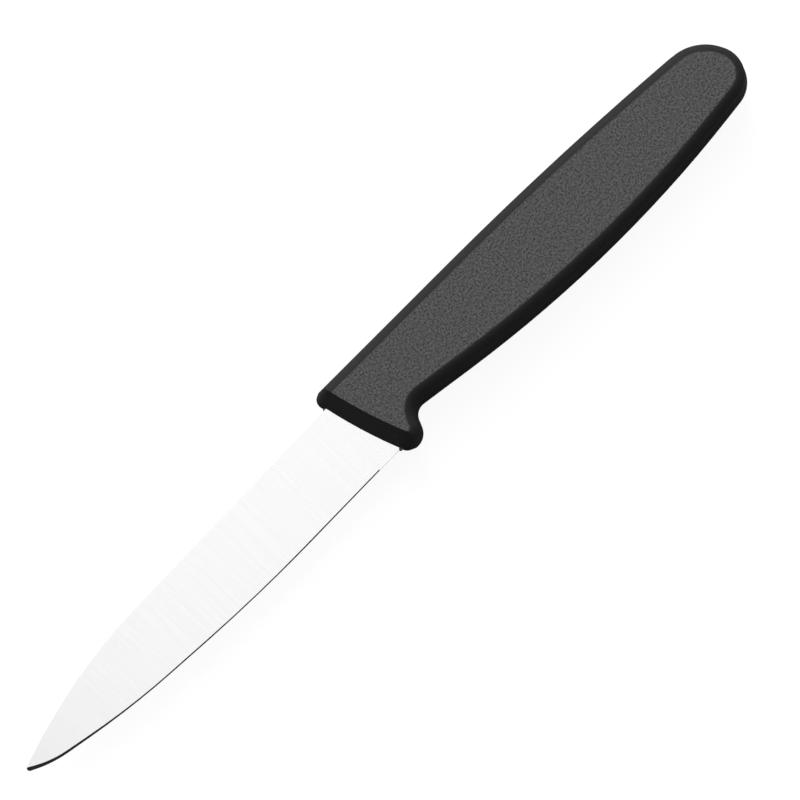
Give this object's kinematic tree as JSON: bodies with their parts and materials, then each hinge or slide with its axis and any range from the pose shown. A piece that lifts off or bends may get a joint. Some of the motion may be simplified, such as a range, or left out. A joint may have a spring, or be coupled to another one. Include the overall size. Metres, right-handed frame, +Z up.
{
  "type": "paring knife",
  "caption": "Small kitchen knife with a pointed, flat-ground steel blade and a black moulded handle with a guard, a finger recess and a rounded butt.",
  "frame": {"origin": "on the surface the knife lies on, under the middle of its length and of its width", "axes": "+X from the tip to the butt along the handle's straight back, +Y from the edge to the spine, +Z up, square to the blade's flat"},
  "size_m": [0.1922, 0.0208, 0.0125],
  "materials": {
    "blade_steel": "satin cross-ground, with a polished sharpening bevel",
    "handle_plastic": "fine spark-eroded grain on the flat faces, smooth rim"
  },
  "bodies": {
    "root": {"blade": "blade_steel", "handle": "handle_plastic"}
  },
  "joints": []
}
